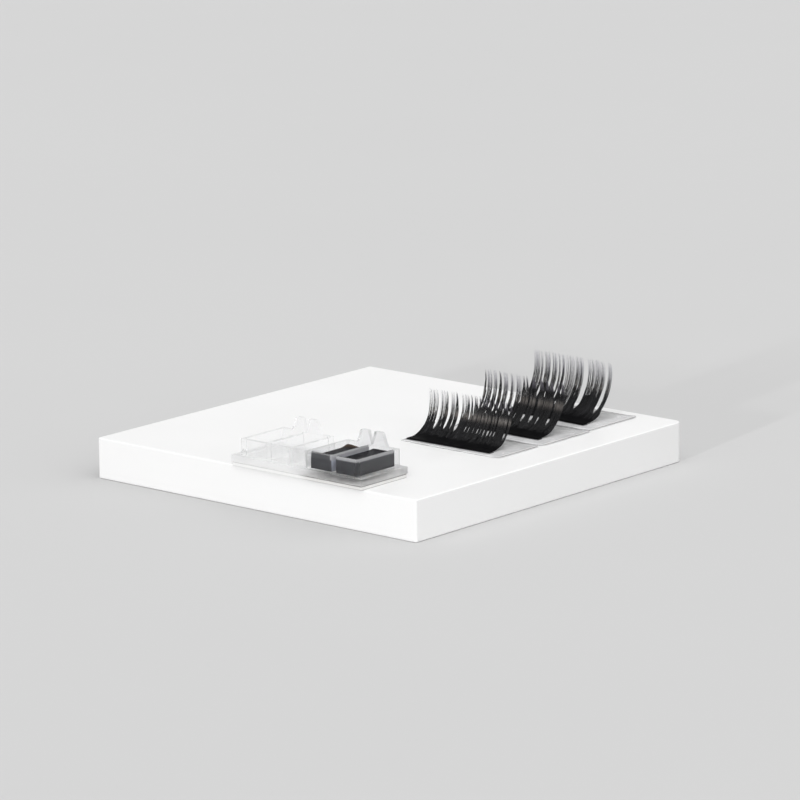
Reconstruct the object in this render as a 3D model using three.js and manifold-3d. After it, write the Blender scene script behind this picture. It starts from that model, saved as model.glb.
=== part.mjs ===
// Lash extension tile: a white slab that carries a strip of two clear glue cups, one of them filled,
// and three lash strips of rising length, each a clear film with a black root band and curled lashes.
// Millimetres, +Z up. The origin is the middle of the slab's underside. The cups stand along the -Y
// edge and the lash strips follow one another towards the +Y edge.

import * as THREE from "three";
import { mergeVertices } from "three/addons/utils/BufferGeometryUtils.js";
import Module from "manifold-3d";

const wasm = await Module();
wasm.setup();

// Slab
const tileSide = 100;
const tileThickness = 10;
const tileEdgeBevel = 0.3;
const tileCornerRadius = 0.3; // of the top face, inside the bevel
const tileEasedCornerRadius = 1.7; // the +X +Y corner is rubbed rounder than the other three

// Glue cup strip: cups on one flange, stuck down by double-sided tape
const cupCount = 2;
const filledCup = 1; // counted from 0 at the -X end
const flangeThickness = 1.6;
const flangeCornerRadius = 0.8;
const flangeOverTileFront = 1; // the strip is stuck on with its front a little over the slab's edge
const flangeToTileSide = 15.5;
const tapeThickness = 1;
const tapeInset = 0.05;
const cupWidth = 16.2;
const cupDepth = 15.3;
const cupHeight = 3.95; // from the flange's top to the rim
const cupCornerRadius = 0.7;
const cupGap = 3.95;
const cupToFlangeEnd = 1.9;
const cupToFlangeFront = 0.95;
const cupToFlangeBack = 0.15;
const cupWall = 1.05; // at the front and the sides
const cupBackWall = 1.15; // it carries the prongs
const dividerThickness = 1.3;
const wellFloor = 1.55;
const wellCornerRadius = 0.45;

// Fanning prongs on each cup's back wall, with a notch between them
const prongRise = 3.3;
const prongThickness = 1;
const prongFoot = 4.6; // half of the pair's width at the rim
const prongShoulder = 3.3; // half of the pair's width at the tips
const notchHalfWidth = 1.05; // at the tips
const notchRoot = 0.15; // the notch's lowest point above the rim
const prongTipRadius = 0.6;
const prongSeat = 1; // how far the prongs reach down into the wall

// Glue in the filled cup's two wells
const leftGlueDepth = 2.65;
const rightGlueDepth = 3.05;
const glueClearance = 0.05;

// Lash strips, from the cups towards the +Y edge. The film reaches ahead of the roots and behind the
// lashes' curl. The strips are laid by hand: each lies a little to one side, its lashes a little askew.
const frontLashLength = 13;
const frontFilmAhead = 1.9;
const frontFilmBehind = 4.4;
const frontAside = 0;
const frontSkew = THREE.MathUtils.degToRad(1.5);
const middleLashLength = 15;
const middleFilmAhead = 4.1;
const middleFilmBehind = 4.5;
const middleAside = 0.3;
const middleSkew = THREE.MathUtils.degToRad(-1);
const backLashLength = 17;
const backFilmAhead = 3.5;
const backFilmBehind = 3.8;
const backAside = -0.5;
const backSkew = THREE.MathUtils.degToRad(-2);
const stripGap = 0.4;
const filmToTileBack = 3.6;
const filmToTileSide = 10.3;
const filmThickness = 0.15;
const filmCornerRadius = 1.5;
const filmHeelRadius = 0.4;
const filmTabLength = 4.4; // the end that stands clear, to be gripped
const filmTabLift = 0.3;
const filmTrim = 1; // the sheet's spare edge that is trimmed off
const bandLength = 25.4;
const bandThickness = 0.15;
const bandFlat = 1.6; // the straight part of the roots, stuck down on the band
const bandToFilmEnd = 0.4;
const bandToTab = 0.2;
const rootBend = 2.8; // the fused roots that already curl up
const rootCover = 0.06; // the roots' skin over a strand's foot
const curlTurn = THREE.MathUtils.degToRad(107);
const curlNarrowing = 0.92; // the curl is this much narrower than a round one
const strandThickness = 0.19;
const strandClearance = 0.04;
const strandSides = 3;
const strandSteps = 4;
const strandTaper = 0.55;
const strandLengthSpread = 0.05;
const clumpPitch = 2.1;
const clumpGather = 0.6; // 0 for upright strands, 1 for tips that all meet in the middle of a clump
const strandShuffle = 2.4; // radians, so that no strand has its neighbour's length or section

const arcSteps = 5;
const rootSteps = 5;

// Levels and places that follow from the sizes above
const tileTop = tileThickness;
const halfSide = tileSide / 2;
const cupPitch = cupWidth + cupGap;
const flangeLength = 2 * cupToFlangeEnd + cupCount * cupPitch - cupGap;
const flangeDepth = cupToFlangeFront + cupDepth + cupToFlangeBack;
const flangeUnderside = tileTop + tapeThickness;
const rimHeight = flangeThickness + cupHeight; // above the flange's underside
const wellWidth = (cupWidth - 2 * cupWall - dividerThickness) / 2;
const wellLength = cupDepth - cupWall - cupBackWall;
const wellFront = cupToFlangeFront + cupWall;
const bandTop = filmThickness + bandThickness; // above the slab's top
const bandMiddle = bandToFilmEnd + bandLength / 2;
const filmLength = bandToFilmEnd + bandLength + bandToTab + filmTabLength;
const rootWidth = bandFlat + rootBend;
const rootThickness = strandThickness + 2 * rootCover;
const strandCount = Math.floor(bandLength / (strandThickness + strandClearance));
const lashStrips = [
  {
    name: "front",
    lashLength: frontLashLength,
    filmAhead: frontFilmAhead,
    filmBehind: frontFilmBehind,
    aside: frontAside,
    skew: frontSkew,
  },
  {
    name: "middle",
    lashLength: middleLashLength,
    filmAhead: middleFilmAhead,
    filmBehind: middleFilmBehind,
    aside: middleAside,
    skew: middleSkew,
  },
  {
    name: "back",
    lashLength: backLashLength,
    filmAhead: backFilmAhead,
    filmBehind: backFilmBehind,
    aside: backAside,
    skew: backSkew,
  },
];

const material = (color, roughness, opacity = 1) =>
  new THREE.MeshStandardMaterial({ color, roughness, metalness: 0, opacity, transparent: opacity < 1 });
const tileWhite = material(0xf4f4f2, 0.45);
const clearPlastic = material(0xe9ecee, 0.1, 0.35);
const clearTape = material(0xdfe2e2, 0.3, 0.6);
const darkGlue = material(0x121214, 0.15);
const clearFilm = material(0xe4e6ea, 0.15, 0.4);
const blackBand = material(0x161517, 0.5);
const blackLash = material(0x1a191c, 0.35);

// A closed geometry as a solid that can be joined and cut
function solidOf(geometry) {
  const bare = geometry.index ? geometry.toNonIndexed() : geometry.clone();
  bare.deleteAttribute("normal");
  bare.deleteAttribute("uv");
  const merged = mergeVertices(bare, 1e-4);
  const vertProperties = new Float32Array(merged.attributes.position.array);
  const triVerts = new Uint32Array(merged.index.array);
  return new wasm.Manifold(new wasm.Mesh({ numProp: 3, vertProperties, triVerts }));
}

function geometryOf(solid) {
  const { vertProperties, triVerts } = solid.getMesh();
  const geometry = new THREE.BufferGeometry();
  geometry.setAttribute("position", new THREE.BufferAttribute(new Float32Array(vertProperties), 3));
  geometry.setIndex(new THREE.BufferAttribute(new Uint32Array(triVerts), 1));
  return geometry;
}

function namedMesh(name, geometry, finish) {
  const mesh = new THREE.Mesh(geometry, finish);
  mesh.name = name;
  return mesh;
}

// A rectangle from (0, 0) to (width, depth) with its own radius at each corner, counter-clockwise
// from the corner at the origin
function roundedRectangle(width, depth, radii) {
  const [nearLeft, nearRight, farRight, farLeft] = radii;
  const shape = new THREE.Shape();
  shape.absarc(nearLeft, nearLeft, nearLeft, Math.PI, 1.5 * Math.PI);
  shape.absarc(width - nearRight, nearRight, nearRight, 1.5 * Math.PI, 2 * Math.PI);
  shape.absarc(width - farRight, depth - farRight, farRight, 0, Math.PI / 2);
  shape.absarc(farLeft, depth - farLeft, farLeft, Math.PI / 2, Math.PI);
  shape.closePath();
  return shape;
}

function upright(shape, height) {
  return new THREE.ExtrudeGeometry(shape, { depth: height, bevelEnabled: false, curveSegments: arcSteps });
}

// A block with rounded upright edges and its low corner at (x, y, z)
function block(x, y, z, width, depth, height, radius) {
  const radii = [radius, radius, radius, radius];
  return upright(roundedRectangle(width, depth, radii), height).translate(x, y, z);
}

// An outline drawn in X and Z, given a thickness from y towards +Y
function acrossY(shape, y, thickness) {
  return upright(shape, thickness).rotateX(Math.PI / 2).translate(0, y + thickness, 0);
}

function makeTile() {
  const inner = tileSide - 2 * tileEdgeBevel;
  const radii = [tileCornerRadius, tileCornerRadius, tileEasedCornerRadius, tileCornerRadius];
  const slab = new THREE.ExtrudeGeometry(roundedRectangle(inner, inner, radii), {
    depth: tileThickness - 2 * tileEdgeBevel,
    bevelThickness: tileEdgeBevel,
    bevelSize: tileEdgeBevel,
    bevelSegments: 2,
    curveSegments: arcSteps,
  });
  slab.translate(-inner / 2, -inner / 2, tileEdgeBevel);
  return namedMesh("tile_slab", slab, tileWhite);
}

// The cup strip's own frame has its origin at the flange's -X -Y corner, on the flange's underside
const cupLeft = (index) => cupToFlangeEnd + index * cupPitch;
const wellLeft = (index, side) => cupLeft(index) + cupWall + side * (wellWidth + dividerThickness);

// One prong's outline in X and Z, from the notch to the foot on the side that sign names
function prongOutline(centre, sign) {
  const tip = rimHeight + prongRise;
  const foot = rimHeight - prongSeat;
  const bend = (prongShoulder + prongFoot - prongTipRadius) / 2;
  const across = (distance) => centre + sign * distance;
  const shape = new THREE.Shape();
  shape.moveTo(centre, foot);
  shape.lineTo(centre, rimHeight + notchRoot);
  shape.lineTo(across(notchHalfWidth - prongTipRadius / 4), tip - prongTipRadius);
  shape.quadraticCurveTo(across(notchHalfWidth), tip, across(notchHalfWidth + prongTipRadius), tip);
  shape.lineTo(across(prongShoulder - prongTipRadius), tip);
  shape.quadraticCurveTo(
    across(prongShoulder),
    tip,
    across(prongShoulder + prongTipRadius / 3),
    tip - prongTipRadius,
  );
  shape.quadraticCurveTo(across(bend), rimHeight + prongTipRadius, across(prongFoot), rimHeight);
  shape.lineTo(across(prongFoot), foot);
  shape.closePath();
  return shape;
}

function makeCupStrip() {
  let strip = solidOf(block(0, 0, 0, flangeLength, flangeDepth, flangeThickness, flangeCornerRadius));
  const wallBack = cupToFlangeFront + cupDepth;
  for (let index = 0; index < cupCount; index += 1) {
    const left = cupLeft(index);
    const body = block(left, cupToFlangeFront, 0, cupWidth, cupDepth, rimHeight, cupCornerRadius);
    strip = strip.add(solidOf(body));
    for (const sign of [-1, 1]) {
      const outline = prongOutline(left + cupWidth / 2, sign);
      strip = strip.add(solidOf(acrossY(outline, wallBack - prongThickness, prongThickness)));
    }
    for (const side of [0, 1]) {
      const cutHeight = rimHeight - wellFloor + prongRise;
      const x = wellLeft(index, side);
      const cut = block(x, wellFront, wellFloor, wellWidth, wellLength, cutHeight, wellCornerRadius);
      strip = strip.subtract(solidOf(cut));
    }
  }
  return namedMesh("cup_strip", geometryOf(strip), clearPlastic);
}

function makeCupTape() {
  const length = flangeLength - 2 * tapeInset;
  const depth = flangeDepth - 2 * tapeInset;
  const tape = block(tapeInset, tapeInset, -tapeThickness, length, depth, tapeThickness, flangeCornerRadius);
  return namedMesh("cup_tape", tape, clearTape);
}

function makeGluePool(name, side, depth) {
  const x = wellLeft(filledCup, side) + glueClearance;
  const y = wellFront + glueClearance;
  const width = wellWidth - 2 * glueClearance;
  const length = wellLength - 2 * glueClearance;
  const radius = wellCornerRadius - glueClearance;
  return namedMesh(name, block(x, y, wellFloor, width, length, depth, radius), darkGlue);
}

function makeCups() {
  const cups = new THREE.Group();
  cups.position.x = halfSide - flangeToTileSide - flangeLength;
  cups.position.y = -halfSide - flangeOverTileFront;
  cups.position.z = flangeUnderside;
  cups.add(makeCupStrip(), makeCupTape());
  cups.add(makeGluePool("glue_pool_left", 0, leftGlueDepth));
  cups.add(makeGluePool("glue_pool_right", 1, rightGlueDepth));
  return cups;
}

// A lash strip's own frame has its origin on the slab's top, at the roots' front edge, half way along
// them. The curl runs in Y and Z: straight along the band, then an arc that has turned by curlTurn at
// the tip.
const curlRadius = (strip) => (rootBend + strip.lashLength) / curlTurn;
const curlReach = (strip) => bandFlat + curlNarrowing * curlRadius(strip);

// A point at a distance along the curl from the roots' front edge, and at a height above the curl
function curlPoint(strip, distance, height) {
  const radius = curlRadius(strip);
  const turn = Math.max(0, distance - bandFlat) / radius;
  const straight = Math.min(distance, bandFlat);
  const y = straight + curlNarrowing * (radius - height) * Math.sin(turn);
  const z = bandTop + radius - (radius - height) * Math.cos(turn);
  return new THREE.Vector2(y, z);
}

// The film is a wide sheet, bent up at its +X end, that is then trimmed to its outline
function makeFilm(strip) {
  const radius = (filmTabLength ** 2 + filmTabLift ** 2) / (2 * filmTabLift);
  const turn = Math.asin((filmTabLength + filmTrim) / radius);
  const flat = filmLength - filmTabLength;
  const side = new THREE.Shape();
  side.moveTo(-filmTrim, 0);
  side.lineTo(flat, 0);
  side.absarc(flat, radius, radius, -Math.PI / 2, -Math.PI / 2 + turn);
  side.absarc(flat, radius, radius - filmThickness, -Math.PI / 2 + turn, -Math.PI / 2, true);
  side.lineTo(-filmTrim, filmThickness);
  side.closePath();
  const depth = strip.filmAhead + curlReach(strip) + strip.filmBehind;
  const bent = solidOf(acrossY(side, -strip.filmAhead - filmTrim, depth + 2 * filmTrim));
  const radii = [filmHeelRadius, filmCornerRadius, filmCornerRadius, filmHeelRadius];
  const plan = upright(roundedRectangle(filmLength, depth, radii), 2 * (filmTabLift + filmTrim));
  const trim = solidOf(plan.translate(0, -strip.filmAhead, -filmTrim));
  const film = geometryOf(bent.intersect(trim)).translate(-bandMiddle, 0, 0);
  return namedMesh(`lash_film_${strip.name}`, film, clearFilm);
}

function makeBand(strip) {
  const band = new THREE.BoxGeometry(bandLength, bandFlat, bandThickness);
  band.translate(0, bandFlat / 2, filmThickness + bandThickness / 2);
  return namedMesh(`lash_band_${strip.name}`, band, blackBand);
}

// The fused roots' outline in Y and Z: along their underside to the far face, and back over the top
function rootOutline(strip) {
  const under = [new THREE.Vector2(0, bandTop)];
  const over = [new THREE.Vector2(0, bandTop + rootThickness)];
  for (let step = 0; step <= rootSteps; step += 1) {
    const distance = bandFlat + (rootBend * step) / rootSteps;
    under.push(curlPoint(strip, distance, 0));
    over.push(curlPoint(strip, distance, rootThickness));
  }
  return [...under, ...over.reverse()];
}

// The roots' long faces and two ends as triangle corners, without the far face that the strands grow from
function rootFaces(strip, left, right) {
  const outline = rootOutline(strip);
  const farEdge = outline.length / 2 - 1;
  const corner = (x, index) => {
    const { x: y, y: z } = outline[index % outline.length];
    return new THREE.Vector3(x, y, z);
  };
  const faces = [];
  for (let edge = 0; edge < outline.length; edge += 1) {
    if (edge === farEdge) continue;
    faces.push(corner(left, edge), corner(left, edge + 1), corner(right, edge));
    faces.push(corner(right, edge), corner(left, edge + 1), corner(right, edge + 1));
  }
  for (const [a, b, c] of THREE.ShapeUtils.triangulateShape(outline, [])) {
    faces.push(corner(right, a), corner(right, b), corner(right, c));
    faces.push(corner(left, a), corner(left, c), corner(left, b));
  }
  return faces;
}

// One ring round a strand: places across X and above the curl, leaning towards the clump's middle
function strandRing(index, step) {
  const along = step / strandSteps;
  const root = ((index + 0.5) * bandLength) / strandCount - bandLength / 2;
  const phase = (2 * Math.PI * root) / clumpPitch;
  const lean = (-clumpGather * clumpPitch * Math.sin(phase)) / (2 * Math.PI);
  const middle = new THREE.Vector2(root + lean * along, rootThickness / 2);
  const half = (strandThickness / 2) * (1 - strandTaper * along);
  const ring = [];
  for (let side = 0; side < strandSides; side += 1) {
    const angle = (2 * Math.PI * side) / strandSides + index * strandShuffle;
    ring.push(new THREE.Vector2(half * Math.cos(angle), half * Math.sin(angle)).add(middle));
  }
  return step < strandSteps ? ring : [middle];
}

// A strand's rings in place, ending in a point at its tip
function strandRings(strip, index) {
  const short = (strandLengthSpread * (1 - Math.sin(index * strandShuffle))) / 2;
  const length = strip.lashLength * (1 - short);
  const rings = [];
  for (let step = 0; step <= strandSteps; step += 1) {
    const distance = rootWidth + (length * step) / strandSteps;
    rings.push(strandRing(index, step).map(({ x, y: height }) => {
      const { x: y, y: z } = curlPoint(strip, distance, height);
      return new THREE.Vector3(x, y, z);
    }));
  }
  return rings;
}

function strandFaces(strip, index) {
  const rings = strandRings(strip, index);
  const [tip] = rings.pop();
  const last = rings[rings.length - 1];
  const faces = [];
  for (let side = 0; side < strandSides; side += 1) {
    const next = (side + 1) % strandSides;
    for (let step = 1; step < rings.length; step += 1) {
      const low = rings[step - 1];
      const high = rings[step];
      faces.push(low[side], high[side], low[next]);
      faces.push(low[next], high[side], high[next]);
    }
    faces.push(last[side], tip, last[next]);
  }
  return faces;
}

// The roots' far face, open where each strand's foot stands on it
function farFaces(strip, left, right) {
  const border = [[left, 0], [right, 0], [right, rootThickness], [left, rootThickness]];
  const rim = border.map(([x, height]) => new THREE.Vector2(x, height));
  const feet = [];
  for (let index = 0; index < strandCount; index += 1) feet.push(strandRing(index, 0));
  const corners = [...rim, ...feet.flat()].map(({ x, y: height }) => {
    const { x: y, y: z } = curlPoint(strip, rootWidth, height);
    return new THREE.Vector3(x, y, z);
  });
  const triangles = THREE.ShapeUtils.triangulateShape(rim, feet);
  return triangles.flatMap(([a, b, c]) => [corners[a], corners[c], corners[b]]);
}

// The lashes grow out of their fused roots, so both are one closed skin
function makeLashes(strip) {
  const left = -bandLength / 2;
  const right = bandLength / 2;
  const faces = [...rootFaces(strip, left, right), ...farFaces(strip, left, right)];
  for (let index = 0; index < strandCount; index += 1) faces.push(...strandFaces(strip, index));
  const skin = mergeVertices(new THREE.BufferGeometry().setFromPoints(faces), 1e-4);
  return namedMesh(`lashes_${strip.name}`, skin, blackLash);
}

// The strips are set out from the +Y edge forwards, each film clear of the next
function makeLashStrips() {
  const row = new THREE.Group();
  row.position.z = tileTop;
  let back = halfSide - filmToTileBack;
  for (const strip of [...lashStrips].reverse()) {
    const group = new THREE.Group();
    group.position.x = halfSide - filmToTileSide - filmLength + bandMiddle + strip.aside;
    group.position.y = back - strip.filmBehind - curlReach(strip);
    const askew = new THREE.Group();
    askew.rotation.z = strip.skew;
    askew.add(makeBand(strip), makeLashes(strip));
    group.add(makeFilm(strip), askew);
    row.add(group);
    back = group.position.y - strip.filmAhead - stripGap;
  }
  return row;
}

const lashTile = new THREE.Group();
lashTile.add(makeTile(), makeCups(), makeLashStrips());

export default lashTile;
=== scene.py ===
# %% [markdown]
# # A lash artist's tile, dressed in Blender
#
# The real object is a white slab as wide as a hand. A strip of two clear glue cups is stuck along
# one edge, and three rows of curled black lashes on clear film are stuck side by side on the
# rest. The solids come from a CAD model, which is loaded first and never changes. This lesson
# gives each piece the shape and the finish that the eye expects: rounded edges, clear plastic, a
# liquid with a meniscus, thin film and hundreds of tapering fibres.

# %% Load the frame
import math
import random

import bmesh
import bpy
from mathutils import Matrix, Vector, noise


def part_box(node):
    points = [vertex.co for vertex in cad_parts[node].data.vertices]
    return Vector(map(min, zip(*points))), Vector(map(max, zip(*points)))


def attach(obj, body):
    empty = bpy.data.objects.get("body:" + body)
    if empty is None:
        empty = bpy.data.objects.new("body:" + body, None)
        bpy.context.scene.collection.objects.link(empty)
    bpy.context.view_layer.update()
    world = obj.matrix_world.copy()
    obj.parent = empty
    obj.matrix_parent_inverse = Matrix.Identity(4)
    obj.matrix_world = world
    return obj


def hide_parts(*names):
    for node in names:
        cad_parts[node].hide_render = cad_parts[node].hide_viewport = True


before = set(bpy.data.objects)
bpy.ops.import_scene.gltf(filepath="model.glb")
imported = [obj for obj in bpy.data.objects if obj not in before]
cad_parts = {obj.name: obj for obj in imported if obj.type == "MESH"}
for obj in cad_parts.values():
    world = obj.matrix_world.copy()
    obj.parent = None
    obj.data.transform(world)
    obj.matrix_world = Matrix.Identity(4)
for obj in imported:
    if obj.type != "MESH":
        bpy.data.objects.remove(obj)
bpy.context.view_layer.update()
mm = 0.001
scene = bpy.context.scene
scene.view_settings.view_transform = "Standard"

# %% [markdown]
# ## The camera
#
# A camera can be set by eye, or worked out from points whose places are known. Here the slab's
# corners gave it: it stands more than a metre away, low, with a long lens, which is why the
# slab's sides look almost parallel. The picture is turned by half a degree, as a hand-held camera
# would be.

# %% Camera
camera_azimuth = math.radians(40.554)
camera_elevation = math.radians(12.924)
camera_roll = math.radians(-0.593)
camera_distance = 1156.43 * mm
camera_aside = 1.946 * mm
camera_above = 16.791 * mm
focal_length_px = 4790.1
picture_width_px = 800
sensor_width = 36.0

backwards = Vector((
    math.sin(camera_azimuth) * math.cos(camera_elevation),
    -math.cos(camera_azimuth) * math.cos(camera_elevation),
    math.sin(camera_elevation),
))
level_right = Vector((math.cos(camera_azimuth), math.sin(camera_azimuth), 0))
level_up = backwards.cross(level_right)
right = math.cos(camera_roll) * level_right + math.sin(camera_roll) * level_up
up = math.cos(camera_roll) * level_up - math.sin(camera_roll) * level_right

camera_data = bpy.data.cameras.new("camera")
camera_data.sensor_width = sensor_width
camera_data.lens = focal_length_px / picture_width_px * sensor_width
camera = bpy.data.objects.new("camera", camera_data)
scene.collection.objects.link(camera)
turn = Matrix((right, up, backwards)).transposed().to_4x4()
place = backwards * camera_distance + right * camera_aside + up * camera_above
camera.matrix_world = Matrix.Translation(place) @ turn
scene.camera = camera
print("lens in mm:", round(camera_data.lens, 1))

# %% [markdown]
# ## Short words for nodes
#
# Materials and the world are graphs of nodes. In the shader editor a node is added, its values
# are typed in and its inputs are joined by dragging. Two helpers do the same here: each input
# gets a number, a colour or another node's output.

# %% Node helpers


def fill(tree, node, inputs):
    """Sets each input to a number or a colour, or joins it to another node's output."""
    for label, value in dict(inputs).items():
        socket = node.inputs[label]
        if isinstance(value, bpy.types.NodeSocket):
            tree.links.new(value, socket)
        else:
            socket.default_value = (*value, 1) if isinstance(value, tuple) else value


def add_node(tree, kind, inputs=()):
    node = tree.nodes.new(f"ShaderNode{kind}")
    fill(tree, node, inputs)
    return node


print("node helpers ready")

# %% [markdown]
# ## Light
#
# The slab stands in bright, soft light that comes from everywhere, so the world is an even grey
# of the same tone as the floor, and darker overhead, where a room's ceiling is. A low lamp in
# front draws the long faint shadow that falls to the back. That shadow's side is sharp and its
# far end fades, as a tall and narrow lamp makes it, so two suns stand one above the other. A
# broad lamp overhead, a little to the right, lifts the top and the right-hand side.
#
# Sun lamps are used because they light the whole floor evenly, so that no bright pool shows.

# %% World and lamps
backdrop_tone = 0.672
overhead_tone = 0.36
overhead_height = 0.8
world_tone = 0.459
low_strength = 0.69
high_strength = 2.0


def add_sun(name, travel, strength, spread):
    lamp = bpy.data.lights.new(name, "SUN")
    lamp.energy = strength
    lamp.angle = math.radians(spread)
    holder = bpy.data.objects.new(name, lamp)
    holder.rotation_mode = "QUATERNION"
    holder.rotation_quaternion = Vector(travel).to_track_quat("-Z", "Y")
    scene.collection.objects.link(holder)
    return holder


def looked_at(tree):
    """1 on rays that the camera, a gloss or clear plastic looks along, and 0 on all others."""
    rays = add_node(tree, "LightPath").outputs
    answer = rays["Is Camera Ray"]
    for kind in ("Is Glossy Ray", "Is Transmission Ray"):
        either = add_node(tree, "Math", {0: answer, 1: rays[kind]})
        either.operation = "MAXIMUM"
        answer = either.outputs[0]
    return answer


low_lamps = [
    add_sun(f"low_lamp_{level}", travel=(-0.14, 0.98, -drop), strength=low_strength, spread=2)
    for level, drop in (("upper", 0.178), ("lower", 0.118))
]
high_lamp = add_sun("high_lamp", travel=(-0.46, 0.0, -0.89), strength=high_strength, spread=120)

world = bpy.data.worlds.new("even_grey")
world.use_nodes = True
scene.world = world
sky = world.node_tree
way = add_node(sky, "TexCoord").outputs["Generated"]
height = add_node(sky, "SeparateXYZ", {"Vector": way}).outputs["Z"]
seen_tone = add_node(sky, "MapRange", {
    "Value": height, "From Max": overhead_height, "To Min": backdrop_tone, "To Max": overhead_tone,
})
tone = add_node(sky, "MapRange", {
    "Value": looked_at(sky), "To Min": world_tone, "To Max": seen_tone.outputs["Result"],
})
fill(sky, sky.nodes["Background"], {"Color": (1, 1, 1), "Strength": tone.outputs["Result"]})
print("lamps:", [lamp.name for lamp in low_lamps], high_lamp.name, "and a world of", world_tone)

# %% [markdown]
# ## Effects that several finishes share
#
# Real surfaces are never quite even: moulded plastic has a faint haze, a wiped slab has fine
# rubs, and glue and film have small specks. Each of these is made once, as a node group that
# gives out a mask, and each finish then uses the mask with its own strength. Every group reads
# the piece's own coordinates, so that the pattern stays on the piece when it is moved.

# %% Node groups


def make_group(name, build, **inputs):
    """A group that reads a place and some inputs, and gives out the mask that build returns."""
    group = bpy.data.node_groups.new(name, "ShaderNodeTree")
    group.interface.new_socket("Vector", in_out="INPUT", socket_type="NodeSocketVector")
    for label, value in inputs.items():
        socket = group.interface.new_socket(label, in_out="INPUT", socket_type="NodeSocketFloat")
        socket.default_value = value
    group.interface.new_socket("Mask", in_out="OUTPUT", socket_type="NodeSocketFloat")
    entry = group.nodes.new("NodeGroupInput").outputs
    mask = build(group, entry["Vector"], *(entry[label] for label in inputs))
    fill(group, group.nodes.new("NodeGroupOutput"), {"Mask": mask})
    return group


def haze(group, place, scale):
    """Broad, soft cloudiness between 0 and 1."""
    cloud = add_node(group, "TexNoise", {"Vector": place, "Scale": scale, "Detail": 4.0})
    spread = {"Value": cloud.outputs["Fac"], "From Min": 0.3, "From Max": 0.7}
    return add_node(group, "MapRange", spread).outputs["Result"]


def specks(group, place, scale, size):
    """Small round specks: 1 in the middle of a speck, 0 between specks."""
    away = add_node(group, "TexVoronoi", {"Vector": place, "Scale": scale}).outputs["Distance"]
    fade = {"Value": away, "From Max": size, "To Min": 1.0, "To Max": 0.0}
    return add_node(group, "MapRange", fade).outputs["Result"]


def rubs(group, place, scale, stretch):
    """Fine long rubs, all in one direction, as a cloth leaves them."""
    shares = add_node(group, "CombineXYZ", {"X": 1.0, "Y": stretch, "Z": 1.0}).outputs["Vector"]
    drawn_out = add_node(group, "VectorMath", {0: place, 1: shares})
    drawn_out.operation = "MULTIPLY"
    streaks = add_node(group, "TexNoise", {
        "Vector": drawn_out.outputs["Vector"], "Scale": scale, "Detail": 6.0,
    })
    thin = {"Value": streaks.outputs["Fac"], "From Min": 0.58, "From Max": 0.72}
    return add_node(group, "MapRange", thin).outputs["Result"]


soft_haze = make_group("soft_haze", haze, Scale=60.0)
small_specks = make_group("small_specks", specks, Scale=400.0, Size=0.18)
fine_rubs = make_group("fine_rubs", rubs, Scale=40.0, Stretch=0.04)
print("groups:", [g.name for g in bpy.data.node_groups])

# %% [markdown]
# ## Short words for building a finish
#
# A finish is a Principled shader whose colour, roughness and bump are fed by the masks above. The
# helpers below add a mask, read a layer painted on the mesh, measure a place along an axis, turn
# any of these into a range of numbers or a blend of two colours, and make a bump of a height
# given in metres, so that each finish can be read in a few lines.

# %% Finish helpers


def grey(level):
    return (level, level, level)


class Finish:
    def __init__(self, name):
        self.material = bpy.data.materials.new(name)
        self.material.use_nodes = True
        self.tree = self.material.node_tree
        self.shader = self.tree.nodes["Principled BSDF"]
        self.where = self.add("TexCoord").outputs["Object"]

    def add(self, kind, inputs=()):
        return add_node(self.tree, kind, inputs)

    def feed(self, inputs):
        fill(self.tree, self.shader, inputs)

    def mask(self, group, **values):
        node = self.add("Group")
        node.node_tree = group
        fill(self.tree, node, {"Vector": self.where, **values})
        return node.outputs["Mask"]

    def painted(self, layer):
        node = self.add("Attribute")
        node.attribute_name = layer
        return node.outputs["Fac"]

    def along(self, axis, low, high):
        """How far along one axis of the piece's own frame, from 0 at low to 1 at high."""
        place = self.add("SeparateXYZ", {"Vector": self.where}).outputs[axis]
        node = self.add("MapRange", {"Value": place, "From Min": low, "From Max": high})
        return node.outputs["Result"]

    def span(self, value, low, high):
        node = self.add("MapRange", {"Value": value, "To Min": low, "To Max": high})
        return node.outputs["Result"]

    def blend(self, factor, first, second):
        node = self.add("Mix")
        node.data_type = "RGBA"
        fill(self.tree, node, {0: factor, 6: first, 7: second})
        return node.outputs[2]

    def sums(self, *values):
        total = values[0]
        for value in values[1:]:
            total = self.add("Math", {0: total, 1: value}).outputs[0]
        return total

    def bump(self, height, depth, strength):
        node = self.add("Bump", {
            "Height": height, "Distance": depth, "Strength": strength,
        })
        self.feed({"Normal": node.outputs["Normal"]})


print("finish helpers ready")

# %% [markdown]
# ## Short words for building a shape
#
# Each piece starts as a block or a flat sheet, gets its corners rounded, and then becomes an
# object with its finishes. The object is tied to a body of the CAD model, so that it moves with
# it, and the CAD solid that it stands for is hidden. A live bevel eases its edges, because no real
# edge is quite sharp.

# %% Shape helpers
tiny = 0.02 * mm
weld_distance = 0.0005 * mm
sharp_from = math.radians(35)


def block(low, high):
    """A box between two corners."""
    box = bmesh.new()
    bmesh.ops.create_cube(box, size=1.0)
    bmesh.ops.scale(box, verts=box.verts, vec=high - low)
    bmesh.ops.translate(box, verts=box.verts, vec=(high + low) / 2)
    return box


def flat_sheet(length, depth):
    """One flat face that starts at the origin."""
    sheet = bmesh.new()
    bmesh.ops.create_grid(sheet, x_segments=1, y_segments=1, size=0.5)
    bmesh.ops.translate(sheet, verts=sheet.verts, vec=(0.5, 0.5, 0))
    bmesh.ops.scale(sheet, verts=sheet.verts, vec=(length, depth, 1))
    return sheet


def uprights(bm):
    return [e for e in bm.edges if abs(e.verts[0].co.z - e.verts[1].co.z) > tiny]


def round_off(bm, geom, radius, segments, affect="EDGES"):
    return bmesh.ops.bevel(
        bm, geom=geom, offset=radius, segments=segments, profile=0.5, affect=affect, material=-1
    )


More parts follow.
